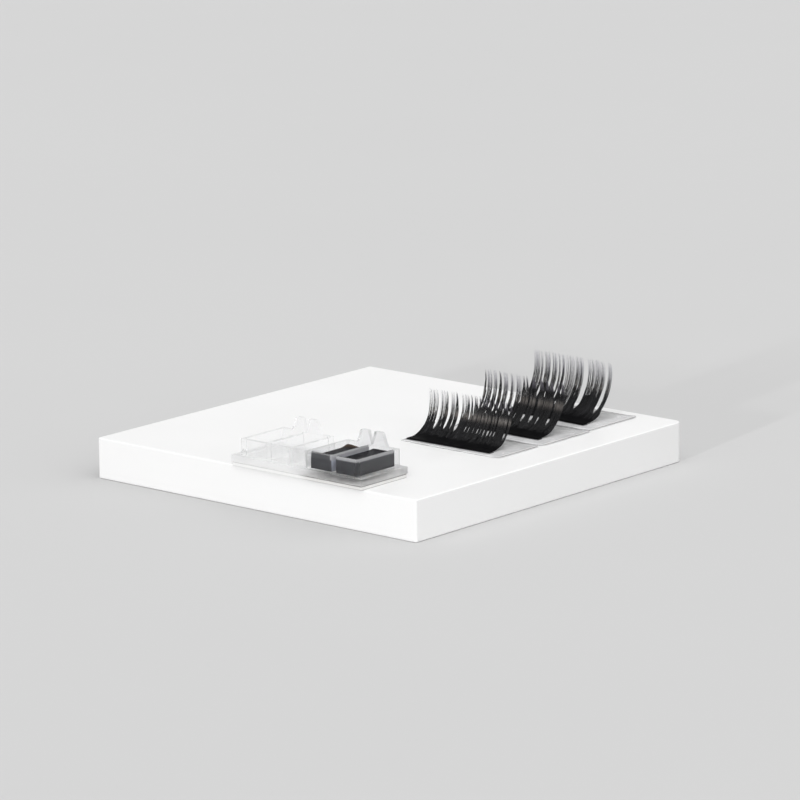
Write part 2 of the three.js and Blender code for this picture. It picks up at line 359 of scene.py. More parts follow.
def steady_order(bm):
    """Sorts the parts by place, because a bevel numbers its new parts in a chance order."""
    ruler = Vector((1.0, 7.31, 53.17))
    bm.verts.sort(key=lambda vert: ruler.dot(vert.co))
    bm.edges.sort(key=lambda edge: ruler.dot(edge.verts[0].co + edge.verts[1].co))
    bm.faces.sort(key=lambda face: ruler.dot(face.calc_center_median()))


def make_object(bm, name, finishes):
    mesh = bpy.data.meshes.new(name)
    bm.to_mesh(mesh)
    bm.free()
    for finish in finishes:
        mesh.materials.append(finish.material)
    thing = bpy.data.objects.new(name, mesh)
    scene.collection.objects.link(thing)
    return thing


def put(bm, name, body, slot, finishes, *stands_for):
    """A finished bmesh becomes a named piece that rides on a body; the CAD nodes it replaces are
    hidden.
    """
    bmesh.ops.remove_doubles(bm, verts=bm.verts, dist=weld_distance)
    bmesh.ops.recalc_face_normals(bm, faces=bm.faces)
    piece = make_object(bm, name, finishes)
    piece.data.shade_smooth()
    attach(piece, body)
    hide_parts(*stands_for)
    print("piece:", name, "on", body, "with", len(piece.data.polygons), "faces")
    return piece


def ease_edges(piece, width, segments=2):
    """Small rounded edges that catch the light, as every real edge does."""
    rounding = piece.modifiers.new("eased_edges", "BEVEL")
    rounding.width = width
    rounding.segments = segments
    rounding.limit_method = "ANGLE"
    rounding.angle_limit = sharp_from
    rounding.harden_normals = True
    return rounding


print("shape helpers ready")

# %% [markdown]
# ## The floor
#
# The object stands on a plain pale grey sweep. A plane is enough, because the camera looks down
# on it and never sees its end. It gets a faint haze so that it isn't a dead flat colour.

# %% Floor
floor_size = 8.0
floor_drop = 0.02 * mm

sweep = Finish("pale_floor")
floor_haze = sweep.mask(soft_haze, Scale=6.0)
floor_tone = sweep.blend(floor_haze, grey(0.615), grey(0.622))
floor_seen = looked_at(sweep.tree)
sweep.feed({
    "Base Color": sweep.blend(floor_seen, grey(0.42), floor_tone),
    "Roughness": 0.85, "Specular IOR Level": 0.0,
})

floor_sheet = bmesh.new()
bmesh.ops.create_grid(floor_sheet, x_segments=1, y_segments=1, size=floor_size)
bmesh.ops.translate(floor_sheet, verts=floor_sheet.verts, vec=(0, 0, -floor_drop))
floor = make_object(floor_sheet, "floor", [sweep])
print("floor laid")

# %% [markdown]
# ## The slab
#
# The slab is one block of white acrylic: flat, square and satin, with edges eased by a moment's
# sanding. One corner is rounder than the others. A cube with its upright edges bevelled gives the
# outline, and a live bevel then eases every remaining edge, so the edge lines catch the lamps.

# %% Slab finish
acrylic = Finish("white_acrylic")
slab_haze = acrylic.mask(soft_haze, Scale=45.0)
slab_rubs = acrylic.mask(fine_rubs, Scale=900.0, Stretch=0.03)
slab_specks = acrylic.mask(small_specks, Scale=900.0, Size=0.5)
acrylic.feed({
    "Base Color": acrylic.blend(slab_haze, (0.925, 0.925, 0.922), (0.938, 0.937, 0.936)),
    "Roughness": acrylic.sums(
        acrylic.span(slab_haze, 0.36, 0.44), acrylic.span(slab_rubs, 0.0, 0.06)
    ),
})
acrylic.bump(slab_specks, 0.004 * mm, 0.6)
print("finish:", acrylic.material.name)

# %% Slab
square_corner = 0.6 * mm
round_corner = 2.0 * mm
slab_edge = 0.3 * mm

slab_low, slab_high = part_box("tile_slab")
slab = block(slab_low, slab_high)
rounder = [e for e in uprights(slab) if e.verts[0].co.x > 0 and e.verts[0].co.y > 0]
squarer = [e for e in uprights(slab) if e not in rounder]
for edges, radius in ((squarer, square_corner), (rounder, round_corner)):
    round_off(slab, edges, radius, segments=6)
slab_piece = put(slab, "slab", "tile", "tile_white", [acrylic], "tile_slab")
ease_edges(slab_piece, slab_edge, segments=3)

# %% [markdown]
# ## The cup strip
#
# The strip is one clear moulding: a flange, two cups with two wells each, and on each cup's back
# wall a pair of fanning prongs that comb spare glue off a lash. It could be cut out of a block
# with booleans, but extruding faces keeps the mesh clean, and clean glass needs a clean mesh. So
# a sheet is sliced along every line of the plan, and faces are then raised for walls and sunk for
# wells.
#
# With the strong bending of light that real plastic has, the walls turned into dark mirrors here,
# which the real strip doesn't show. So this plastic bends light weakly and wears a glossy coat.
# Its dry end is a little milky, and its moulded edges are rougher. Near the glue, the plastic and
# its moulded edges are painted grey, a painted reflection of the dark glue seen in them.

# %% Clear plastic
clear_values = {"Transmission Weight": 1.0, "IOR": 1.11, "Coat Weight": 0.8, "Coat IOR": 1.5}
filled_from, filled_to = 14.2 * mm, 15.8 * mm
reflection_from, reflection_to = 12 * mm, 20 * mm
lamp_tint = (0.94, 0.943, 0.946)


def let_lamps_through(finish, tint):
    """A clear piece throws a pale shadow: shadow rays meet a tinted see-through shader instead."""
    shadow = finish.add("LightPath").outputs["Is Shadow Ray"]
    passing = finish.add("BsdfTransparent", {"Color": tint})
    choice = finish.add("MixShader", {
        0: shadow, 1: finish.shader.outputs["BSDF"], 2: passing.outputs["BSDF"],
    })
    fill(finish.tree, finish.tree.nodes["Material Output"], {"Surface": choice.outputs["Shader"]})


plastic = Finish("cup_plastic")
plastic_haze = plastic.mask(soft_haze, Scale=160.0)
plastic_rubs = plastic.mask(fine_rubs, Scale=1500.0, Stretch=0.05)
# Painted reflection: the colour greys towards the filled end, for the dark glue seen in the
# plastic.
filled_end = plastic.along("X", filled_from, filled_to)
plastic.feed({
    "Base Color": plastic.blend(filled_end, (0.99, 0.991, 0.993), (0.87, 0.874, 0.882)),
    "Roughness": plastic.sums(
        plastic.span(plastic_haze, 0.05, 0.09),
        plastic.span(plastic_rubs, 0.0, 0.03),
        plastic.span(filled_end, 0.16, 0.0),
    ),
})
plastic.bump(plastic_haze, 0.03 * mm, 0.35)

moulding = Finish("moulded_edge")
edge_haze = moulding.mask(soft_haze, Scale=500.0)
# Painted reflection: near the glue the moulded edges are painted grey, for the dark glue in them.
edge_painted_reflection = moulding.blend(edge_haze, (0.52, 0.52, 0.525), (0.66, 0.66, 0.665))
near_glue = moulding.along("X", reflection_from, reflection_to)
moulding.feed({
    "Base Color": moulding.blend(near_glue, (0.93, 0.93, 0.935), edge_painted_reflection), "Roughness": 0.3,
})

for clear, coat_roughness in ((plastic, 0.12), (moulding, 0.2)):
    clear.feed({**clear_values, "Coat Roughness": coat_roughness})
    let_lamps_through(clear, lamp_tint)
    print("finish:", clear.material.name)

# %% Sizes of the cup strip
strip_low, strip_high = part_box("cup_strip")
flange_height = 1.6 * mm
cup_width = 16.2 * mm
cup_margin = 1.9 * mm
cup_front = 0.95 * mm
cup_back = 16.25 * mm
cup_height = 5.55 * mm
cup_wall = 1.05 * mm
cup_back_wall = 1.15 * mm
divider = 1.3 * mm
well_floor = 1.55 * mm
prong_depth = 1.0 * mm
prong_foot = 4.6 * mm
prong_shoulder = 3.3 * mm
prong_rise = 3.3 * mm
notch_half = 1.05 * mm
notch_root = 0.15 * mm
prong_tip = 0.6 * mm
flank_bow = 0.1 * mm
inner_round, outer_round = 0.5, 1.25
cup_corner = 0.7 * mm
well_corner = 0.45 * mm

flange_length = strip_high.x - strip_low.x
flange_depth = strip_high.y - strip_low.y
cup_middles = (cup_margin + cup_width / 2, flange_length - cup_margin - cup_width / 2)
half_cup = cup_width / 2
half_divider = divider / 2
well_edge = half_cup - cup_wall
print("cup middles in mm:", [round((strip_low.x + m) / mm, 2) for m in cup_middles])

# %% Sheet sliced along the plan
across = [side * offset + middle for middle in cup_middles for side in (-1, 1)
          for offset in (half_cup, well_edge, prong_foot, half_divider)] + list(cup_middles)
well_span = (cup_front + cup_wall, cup_back - cup_back_wall)
along = [cup_front, *well_span, cup_back - prong_depth, cup_back]


def slice_along(bm, normal, distances):
    normal = Vector(normal)
    for distance in distances:
        everything = bm.verts[:] + bm.edges[:] + bm.faces[:]
        bmesh.ops.bisect_plane(bm, geom=everything, plane_co=normal * distance, plane_no=normal)


cups = flat_sheet(flange_length, flange_depth)
slice_along(cups, (1, 0, 0), across)
slice_along(cups, (0, 1, 0), along)
print("sheet cut into", len(cups.faces), "faces")

# %% Raise the flange, the walls and the prongs, and sink the wells


def raise_faces(bm, faces, lift, keep=False):
    """Extrudes a patch of faces by lift and returns the new patch. A sheet keeps its old one."""
    grown = bmesh.ops.extrude_face_region(bm, geom=faces)["geom"]
    if not keep:
        bmesh.ops.delete(bm, geom=[f for f in faces if f.is_valid], context="FACES")
    fresh = [g for g in grown if isinstance(g, bmesh.types.BMVert)]
    bmesh.ops.translate(bm, verts=fresh, vec=(0, 0, lift))
    return [g for g in grown if isinstance(g, bmesh.types.BMFace)]


def between(face, x_low, x_high, y_low, y_high):
    middle = face.calc_center_median()
    return x_low < middle.x < x_high and y_low < middle.y < y_high


top = raise_faces(cups, cups.faces[:], flange_height, keep=True)
in_wells, in_walls = [], []
for middle in cup_middles:
    cup_span = (middle - half_cup, middle + half_cup, cup_front, cup_back)
    for face in [f for f in top if between(f, *cup_span)]:
        left_well = between(face, middle - well_edge, middle - half_divider, *well_span)
        right_well = between(face, middle + half_divider, middle + well_edge, *well_span)
        (in_wells if left_well or right_well else in_walls).append(face)
rim = raise_faces(cups, in_walls, cup_height - flange_height)
well_floors = raise_faces(cups, in_wells, well_floor - flange_height)
print("walls:", len(rim), "faces, well floors:", len(well_floors))

# %% Prongs with a notch between them


def flank(t):
    """The prong's outer side from its foot (t = 0) to its tip (t = 1), as distance and height."""
    foot = Vector((prong_foot, 0))
    bend = Vector(((prong_shoulder + prong_foot) / 2 - flank_bow, 0.4 * prong_rise))
    top_end = Vector((prong_shoulder + prong_tip / 3, prong_rise - prong_tip))
    return (1 - t) ** 2 * foot + 2 * t * (1 - t) * bend + t ** 2 * top_end


def notch_side(height):
    share = max(0.0, (height - notch_root) / (prong_rise - notch_root))
    return notch_half * share


def prong_levels():
    """Rows of height, inner distance and outer distance, up the prong and over its rounded tip."""
    rows = []
    for step in range(1, 9):
        outer = flank(step / 8)
        rows.append((outer.y, notch_side(outer.y), outer.x))
    low_inner, low_outer = rows[-1][1], rows[-1][2]
    for degrees in (15, 30, 45, 60, 75, 90):
        bend = math.radians(degrees)
        inset = prong_tip * (1 - math.cos(bend))
        height = prong_rise - prong_tip + prong_tip * math.sin(bend)
        rows.append((height, low_inner + inner_round * inset, low_outer - outer_round * inset))
    return rows


def shape_prong(bm, faces, middle, side):
    """Raises one prong level by level, and moves each level's sides to where its row says."""
    was_inner, was_outer, was_height = 0.0, prong_foot, 0.0
    for height, inner, outer in prong_levels():
        faces = raise_faces(bm, faces, height - was_height)
        for vert in {v for f in faces for v in f.verts}:
            share = (side * (vert.co.x - middle) - was_inner) / (was_outer - was_inner)
            vert.co.x = middle + side * (inner + share * (outer - inner))
        was_inner, was_outer, was_height = inner, outer, height


for middle in cup_middles:
    for side in (-1, 1):
        edges = sorted((middle, middle + side * prong_foot))
        span = (*edges, cup_back - prong_depth, cup_back)
        patch = [f for f in rim if f.is_valid and between(f, *span)]
        shape_prong(cups, patch, middle, side)
print("prongs raised:", 2 * len(cup_middles))

# %% Round the corners
shortest_upright = 0.1 * mm
upright_tilt = 0.3
flat_within = math.radians(0.5)
plain_slot, edge_slot = 0, 1


def upright_at(edge, spots):
    """True for an upright edge that stands on one of the spots in the plan."""
    foot, head = (vert.co for vert in edge.verts)
    aside = abs(foot.x - head.x) + abs(foot.y - head.y)
    if abs(foot.z - head.z) < shortest_upright or aside > tiny:
        return False
    return any(abs(foot.x - x) < tiny and abs(foot.y - y) < tiny for x, y in spots)


def stands(face):
    return abs(face.normal.z) < upright_tilt


def spots_at(offsets, depths):
    return [(m + s * x, y) for m in cup_middles for s in (-1, 1) for x in offsets for y in depths]


# Outer cup corners take the moulded-edge finish, with its painted reflection near the glue.
for spots, radius, slot in (
    (spots_at((half_cup,), (cup_front, cup_back)), cup_corner, edge_slot),
    (spots_at((half_divider, well_edge), well_span), well_corner, plain_slot),
):
    corner_edges = [e for e in cups.edges if upright_at(e, spots)]
    rounded = round_off(cups, corner_edges, radius, segments=5)
    for face in filter(stands, rounded["faces"]):
        face.material_index = slot
    steady_order(cups)
    print("rounded uprights:", len(corner_edges))
bmesh.ops.dissolve_limit(cups, angle_limit=flat_within, verts=cups.verts, edges=cups.edges)

# %% Moulded edges, and the strip's place
strip_edge = 0.14 * mm
flank_tilt = 0.4

# Flange sides and prong flanks take the moulded-edge finish, with its painted reflection.
cups.normal_update()
for face in cups.faces:
    heights = [v.co.z for v in face.verts]
    flange_side = max(heights) < flange_height + tiny and stands(face)
    prong_side = min(heights) > cup_height - tiny and abs(face.normal.x) > flank_tilt
    if flange_side or prong_side:
        face.material_index = edge_slot
bmesh.ops.translate(cups, verts=cups.verts, vec=strip_low)
cup_finishes = [plastic, moulding]
cup_piece = put(cups, "glue_cups", "cups", "clear_plastic", cup_finishes, "cup_strip")
ease_edges(cup_piece, strip_edge, segments=4).material = edge_slot

# %% [markdown]
# ## The tape
#
# The strip is held by a pad of clear double-sided foam tape, a millimetre thick. It is a little
# milky and holds fine bubbles. Its finish also carries painted shade: a dark line in the seam
# along each border of its sides, and a grey under the filled cup, where the dark glue sits above
# it. A bevelled block is all it needs, and its finish does the work. Its top sits a hair inside
# the flange, so that no gap of air turns the flange's underside into a mirror.

# %% Tape finish
overlap = 0.03 * mm
tape_corner = 0.5 * mm
tape_edge = 0.08 * mm
tape_low, tape_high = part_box("cup_tape")
shade_from = tape_low.x + 20.5 * mm
shade_to = tape_low.x + 23.5 * mm

foam = Finish("milky_tape")
tape_bubbles = foam.mask(small_specks, Scale=1400.0, Size=0.42)
tape_haze = foam.mask(soft_haze, Scale=220.0)
# Painted shade: the tape greys under the filled cup, where the dark glue sits above it.
under_glue_shade = foam.along("X", shade_from, shade_to)
tape_height = foam.along("Z", tape_low.z, tape_high.z)
# Painted shade: dark lines in the seams, at the foot of the tape's sides and just under the flange.
seam_shade = foam.add("ValToRGB", {"Fac": tape_height})
seam_shade_stops = ((0.0, 0.75), (0.22, 0.15), (0.7, 0.2), (0.9, 0.9), (0.98, 0.9), (1.0, 0.0))
for spot, _ in seam_shade_stops[1:-1]:
    seam_shade.color_ramp.elements.new(spot)
for stop, (spot, level) in zip(seam_shade.color_ramp.elements, seam_shade_stops):
    stop.position = spot
    stop.color = (*grey(level), 1)

tape_white = foam.blend(tape_haze, (0.91, 0.91, 0.905), (0.96, 0.96, 0.955))
tape_shaded = foam.blend(tape_haze, (0.82, 0.81, 0.795), (0.93, 0.92, 0.905))
tape_body = foam.blend(under_glue_shade, tape_white, tape_shaded)
seam_shade_tone = foam.blend(under_glue_shade, (0.62, 0.62, 0.61), grey(0.07))
foam.feed({
    "Base Color": foam.blend(seam_shade.outputs["Color"], tape_body, seam_shade_tone),
    "Roughness": foam.span(tape_bubbles, 0.2, 0.4),
})
foam.bump(tape_bubbles, 0.02 * mm, 0.5)
print("finish:", foam.material.name)

# %% Tape
tape_high.z += overlap
tape = block(tape_low, tape_high)
round_off(tape, uprights(tape), tape_corner, segments=4)
tape_piece = put(tape, "foam_tape", "cups", "clear_tape", [foam], "cup_tape")
ease_edges(tape_piece, tape_edge)

# %% [markdown]
# ## The glue
#
# Lash glue is thin and black. It wets the walls of its well, so its surface climbs at the edges,
# and where a skin of it is thin it looks brown, as at the far end of the left well. Its sides carry
# painted light: a painted reflection makes them slate grey behind a clear wall, the sides that face
# the divider are painted lighter, and the smear that it left above its surface is painted paler.
# A fine grid is lifted by a formula for the climb and the smear, then extruded down to the well's
# floor in rings that are painted one by one. Its sides sit a hair inside the plastic, so that no
# gap of air turns the wall into a mirror.

# %% Glue finish
glue_brown = (0.11, 0.075, 0.052)

liquid = Finish("black_glue")
glue_haze = liquid.mask(soft_haze, Scale=300.0)
glue_dark = liquid.blend(glue_haze, (0.005, 0.005, 0.007), (0.010, 0.010, 0.013))
# Painted reflection: sides behind a clear wall are slate grey, not black.
glue_painted_reflection = liquid.blend(glue_haze, (0.031, 0.032, 0.036), (0.042, 0.043, 0.048))
# Painted light: the sides that face the clear divider are painted lighter.
glue_sides = liquid.blend(liquid.painted("at_divider"), glue_painted_reflection, (0.36, 0.38, 0.44))
# Painted light: the smear above the surface is painted pale grey.
glue_sides = liquid.blend(liquid.painted("pale_film"), glue_sides, (0.36, 0.36, 0.37))
glue_body = liquid.blend(liquid.painted("at_wall"), glue_dark, glue_sides)
liquid.feed({
    "Base Color": liquid.blend(liquid.painted("thin_glue"), glue_body, glue_brown),
    "Roughness": liquid.span(glue_haze, 0.10, 0.22),
    "Specular IOR Level": 0.02,
})
let_lamps_through(liquid, grey(0.65))
print("finish:", liquid.material.name)

# %% Glue pools
climb_length = 0.55 * mm
smear_length = 0.1 * mm
skin_depth, skin_width = 1.5 * mm, 3.4 * mm
ripple_height, ripple_length = 0.03 * mm, 1.2 * mm
smear_lip, smear_fade = 0.08 * mm, 0.3 * mm
bare_below_smear = 0.2 * mm
pool_columns, pool_rows = 26, 40
glue_overlap = 0.05 * mm + overlap


def glue_pool(name, node, climb, smear, front_pale, skin, brown, divider_side):
    """A pool in one well, with the divider on its right (1) or left (-1).

    Its surface rises by climb at the walls, by smear at the front and the right, and by skin at the
    far end. The smear's front takes as much painted pale light as front_pale says, and thin glue is
    as brown as brown says.
    """
    low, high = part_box(node)
    half_x = (high.x - low.x) / 2 + glue_overlap
    half_y = (high.y - low.y) / 2 + glue_overlap
    pool = bmesh.new()
    bmesh.ops.create_grid(pool, x_segments=pool_columns, y_segments=pool_rows, size=1.0)
    bmesh.ops.scale(pool, verts=pool.verts, vec=(half_x, half_y, 1))
    layer_names = ("thin_glue", "at_wall", "at_divider", "pale_film")
    thin, wall, at_divider, pale = map(pool.verts.layers.float.new, layer_names)
    for vert in pool.verts:
        x, y = vert.co.x, vert.co.y
        over_x = max(0.0, abs(x) - (half_x - well_corner)) / well_corner
        over_y = max(0.0, abs(y) - (half_y - well_corner)) / well_corner
        if over_x and over_y:
            round_x = over_x * math.sqrt(1 - over_y ** 2 / 2)
            round_y = over_y * math.sqrt(1 - over_x ** 2 / 2)
            vert.co.x = math.copysign(half_x - well_corner * (1 - round_x), x)
            vert.co.y = math.copysign(half_y - well_corner * (1 - round_y), y)
        to_wall = min(half_x + divider_side * x, half_y - abs(y))
        edge = math.exp(-to_wall / climb_length)
        far_end = math.exp(-((half_y - y) / skin_depth) ** 2 - ((x + half_x) / skin_width) ** 2)
        ripple = ripple_height * noise.noise(Vector((x, y, 0)) / ripple_length)
        shown = math.exp(-min(half_y + y, half_x - x) / smear_length)
        vert.co.z = climb * edge + smear * shown + skin * far_end + ripple
        vert[thin] = min(1.0, brown * (edge ** 2 + far_end * (skin > 0)))
    below = pool.faces[:]
    # Down the sides, the upper rings get the painted pale light of the smear and the lowest none.
    rings = ((smear_lip, 1.0), (smear - bare_below_smear, 0.85), (smear_fade, 0.0))
    for lowered, paleness in rings:
        below = raise_faces(pool, below, -lowered, keep=paleness == 1.0)
        for vert in {v for f in below for v in f.verts}:
            vert[thin] = 0.0
            vert[wall] = 1.0
            vert[at_divider] = float(divider_side * vert.co.x > half_x - tiny)
            on_front = vert.co.y < -half_y + tiny
            vert[pale] = paleness * (front_pale if on_front else 1.0)
    below = raise_faces(pool, below, 0.0)
    for vert in {v for f in below for v in f.verts}:
        vert.co.z = low.z - high.z
    shift = Vector(((low.x + high.x) / 2, (low.y + high.y) / 2, high.z))
    bmesh.ops.translate(pool, verts=pool.verts, vec=shift)
    put(pool, name, "cups", "dark_glue", [liquid], node)


glue_pool(
    "glue_left", "glue_pool_left", climb=0.05 * mm, smear=1.25 * mm, front_pale=0.08,
    skin=0.5 * mm, brown=0.55, divider_side=1,
)
glue_pool(
    "glue_right", "glue_pool_right", climb=0.2 * mm, smear=0.6 * mm, front_pale=1.0,
    skin=0.0, brown=0.15, divider_side=-1,
)

# %% [markdown]
# ## The lash strips' places
#
# Each strip is a film, a black adhesive band on it, and a row of lashes whose roots are fused by
# the band. The three strips share one way of being made and differ in place, skew and lash
# length. The lashes follow one curl: flat along the band, then an arc that has turned well past
# upright at the tip, a little tighter towards the right-hand end of a strip. A strip's lashes
# stand in bundles that were read off the object one by one: where a bundle starts and ends, how
# far up its lashes stick together and how many tufts they then part into.

# %% Bundles of lashes
band_length = 25.4 * mm
bare_end = 0.3 * mm
part_from = 6.7 * mm
part_over = 1.0 * mm
part_slope = 2.2


def smooth_step(low, high, value):
    share = min(1.0, max(0.0, (value - low) / (high - low)))
    return share * share * (3 - 2 * share)


class Bundle:
    """Lashes that stay together: their roots' span, and the narrower span that they part to."""

    def __init__(self, left, right, start, end, stuck, tufts):
        self.left, self.right = left, right
        self.start, self.end = start, end
        self.stuck, self.tufts = stuck, tufts

    def root(self, share):
        return self.left + share * (self.right - self.left)

    def free(self, share):
        return self.start + share * (self.end - self.start)

    def at(self, share, distance):
        """A lash's place along the band: the further it has to go, the later it gets there."""
        shift = self.free(share) - self.root(share)
        opened = smooth_step(part_from, part_from + part_over + part_slope * abs(shift), distance)
        return self.root(share) + shift * opened


def laid_out(rows):
    """Bundles from rows of start and end on the band, stuck length (all in mm) and tufts."""
    left_end = -band_length / 2
    starts = [left_end + row[0] * mm for row in rows]
    ends = [left_end + row[1] * mm for row in rows]
    borders = [(end + start) / 2 for end, start in zip(ends, starts[1:])]
    borders = [left_end + bare_end, *borders, -left_end - bare_end]
    return [
        Bundle(borders[i], borders[i + 1], starts[i], ends[i], row[2] * mm, row[3])
        for i, row in enumerate(rows)
    ]


front_bundles = laid_out((
    (0.4, 3.05, 9.6, 3), (3.75, 5.35, 8.6, 2), (5.35, 5.95, 12.5, 1), (6.7, 7.85, 8.8, 2),
    (8.15, 9.05, 12.5, 1), (10.0, 11.5, 10.4, 2), (11.6, 12.3, 12.4, 1), (12.7, 13.3, 12.6, 1),
    (13.55, 14.75, 13.2, 2), (15.0, 16.0, 13.4, 1), (16.4, 16.95, 13.2, 1), (17.25, 17.95, 13.4, 1),
    (18.3, 19.05, 13.4, 1), (19.55, 20.15, 13.2, 1), (20.5, 21.1, 13.4, 1), (21.5, 22.3, 13.4, 1),
    (22.5, 24.0, 13.4, 2), (24.5, 25.0, 12.8, 1),
))
middle_bundles = laid_out((
    (0.35, 0.85, 14.5, 1), (1.3, 2.75, 10.5, 2), (3.2, 4.35, 11.0, 2), (4.95, 5.75, 14.0, 1),
    (6.35, 7.6, 12.0, 2), (8.5, 9.4, 11.0, 1), (10.25, 11.7, 12.0, 2), (12.0, 14.1, 14.6, 2),
    (14.85, 16.45, 16.0, 1), (17.35, 18.8, 16.2, 1), (19.15, 21.9, 16.2, 2), (22.65, 25.0, 16.0, 2),
))
back_bundles = laid_out((
    (0.35, 1.0, 12.5, 1), (1.1, 3.1, 10.5, 3), (3.8, 5.5, 12.5, 2), (6.1, 7.5, 12.5, 2),
    (8.1, 8.7, 10.5, 1), (9.1, 9.9, 14.0, 1), (10.5, 13.2, 9.8, 3), (13.3, 15.9, 11.8, 2),
    (17.35, 22.4, 12.6, 5), (23.5, 24.6, 9.5, 2),
))
print("bundles:", len(front_bundles), len(middle_bundles), len(back_bundles))

# %% Strip table and the curl
band_flat = 1.6 * mm
root_bend = 2.8 * mm
film_thickness = 0.15 * mm
band_top = 0.30 * mm
slab_top = slab_high.z
curl_turn = math.radians(107)
curl_narrowing = 0.92
tighter_over = 0.35 * band_length


class Strip:
    """One lash strip: its place and skew on the slab, and its lashes' length and bundles.

    ahead is how far the film reaches in front of the band, tighter how much tighter the curl is at
    the right-hand end, and loose the share of fibres that stray from their bundle.
    """

    def __init__(self, name, x, y, skew, lash, ahead, tighter, loose, bundles, seed):
        self.name = name
        self.body = f"lash_strip_{name}"
        self.origin = Vector((x * mm, y * mm, slab_top))
        self.turn = Matrix.Rotation(math.radians(skew), 4, "Z")
        self.lash = lash * mm
        self.length = band_flat + root_bend + self.lash
        self.radius = (root_bend + self.lash) / curl_turn
        self.ahead = ahead * mm
        self.tighter = tighter
        self.loose = loose
        self.bundles = bundles
        self.seed = seed

    def curl(self, x, distance, height, bend=1.0):
        """The point on the curl at a distance from the band's front, lifted inwards by height."""
        radius = self.radius / (bend * (1 + self.tighter * smooth_step(0.0, tighter_over, x)))
        arc = max(0.0, distance - band_flat) / radius
        y = min(distance, band_flat) + curl_narrowing * (radius - height) * math.sin(arc)
        z = band_top + radius - (radius - height) * math.cos(arc)
        return self.turn @ Vector((x, y, z)) + self.origin


strips = (
    Strip("front", 22.4, -5.807, 1.5, 13, 1.9, 0.07, 0.3, front_bundles, seed=11),
    Strip("middle", 22.7, 12.477, -1.0, 15, 4.1, 0.02, 0.7, middle_bundles, seed=23),
    Strip("back", 21.9, 31.246, -2.0, 17, 3.5, 0.0, 0.75, back_bundles, seed=37),
)
for strip in strips:
    print(strip.name, "curl radius in mm:", round(strip.radius / mm, 2))

# %% [markdown]
# ## The films
#
# Each film is a clear sheet, thinner than a card, with a free end at the right to grip it by. It
# isn't quite flat: it waves a little where the band pulls on it, and behind the band it is painted
# grey and crinkled, less so towards the grip. One quad with rounded corners is sliced both ways,
# so that it can bend, and a live Solidify then gives it its thickness and a cut edge painted dark
# grey, a painted shade along the film's borders.

# %% Film finish
carrier = Finish("carrier_film")
film_crinkle = carrier.mask(small_specks, Scale=700.0, Size=0.75)
film_haze = carrier.mask(soft_haze, Scale=260.0)
film_behind = carrier.painted("behind_band")
film_white = carrier.blend(film_haze, (0.90, 0.90, 0.91), (0.95, 0.95, 0.955))
# Behind the band the film is painted grey and crinkled.
crinkled = carrier.blend(film_crinkle, grey(0.56), grey(0.80))
carrier.feed({
    "Base Color": carrier.blend(film_behind, film_white, crinkled),
    "Roughness": carrier.span(film_haze, 0.14, 0.3),
    "Alpha": carrier.sums(
        carrier.span(film_haze, 0.55, 0.7), carrier.span(film_behind, 0.0, 0.15)
    ),
})
carrier.bump(film_crinkle, 0.03 * mm, 0.5)

# Painted shade: the film's cut edge is dark grey, a thin shade line along its borders.
cut = Finish("film_cut_painted_shade")
cut_haze = cut.mask(soft_haze, Scale=260.0)
cut.feed({
    "Base Color": cut.blend(cut_haze, grey(0.30), grey(0.46)), "Roughness": 0.35,
})
print("finish:", carrier.material.name, "and", cut.material.name)

# %% Films
film_tab = 4.4 * mm
tab_lift = 0.3 * mm
film_sheet = 0.14 * mm
grip_round, heel_round = 1.5 * mm, 0.4 * mm
wave_height, wave_length = 0.05 * mm, 5 * mm
film_columns, film_rows = 40, 16
flat_border = 3 * mm
grey_over = 1.2 * mm
clear_from, clear_to, cleared = 9 * mm, 2 * mm, 0.85


def make_film(strip):
    node = f"lash_film_{strip.name}"
    low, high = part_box(node)
    length, depth = high.x - low.x, high.y - low.y
    film = flat_sheet(length, depth)
    grip_corners = [v for v in film.verts if v.co.x > length / 2]
    heel_corners = [v for v in film.verts if v.co.x < length / 2]
    for corners, radius in ((grip_corners, grip_round), (heel_corners, heel_round)):
        round_off(film, corners, radius, segments=6, affect="VERTICES")
    slice_along(film, (1, 0, 0), [length * i / film_columns for i in range(1, film_columns)])
    slice_along(film, (0, 1, 0), [depth * i / film_rows for i in range(1, film_rows)])
    behind = film.verts.layers.float.new("behind_band")
    band_line = strip.ahead + 1.5 * band_flat
    for vert in film.verts:
        x, y = vert.co.x, vert.co.y
        past = max(0.0, x - (length - film_tab)) / film_tab
        inside = min(1.0, min(x, length - x, y, depth - y) / flat_border)
        wave = noise.noise(Vector((x, y, strip.seed * mm)) / wave_length)
        vert.co.z = tab_lift * past ** 2 + wave_height * max(0.0, wave) * inside * (1 - past)
        # How grey the film is painted behind the band, fading towards the grip.
        towards_grip = smooth_step(length - clear_from, length - clear_to, x)
        greyness = 1.0 - cleared * towards_grip
        vert[behind] = greyness * smooth_step(0.0, grey_over, y - band_line)
    bmesh.ops.translate(film, verts=film.verts, vec=low)
    film_finishes = [carrier, cut]
    piece = put(film, f"film_{strip.name}", strip.body, "clear_film", film_finishes, node)
    wall = piece.modifiers.new("thickness", "SOLIDIFY")
    wall.thickness = film_sheet
    wall.offset = 1.0
    # The rim takes the cut edge's painted shade.
    wall.material_offset_rim = 1


for strip in strips:
    make_film(strip)

# %% [markdown]
# ## The bands
#
# The band is a flat ribbon of black adhesive that the roots stand in. It shows as a dull black
# edge in front of the lashes. A block with eased edges and a grainy finish, turned with its
# strip, is enough.

# %% Bands
band_edge = 0.04 * mm

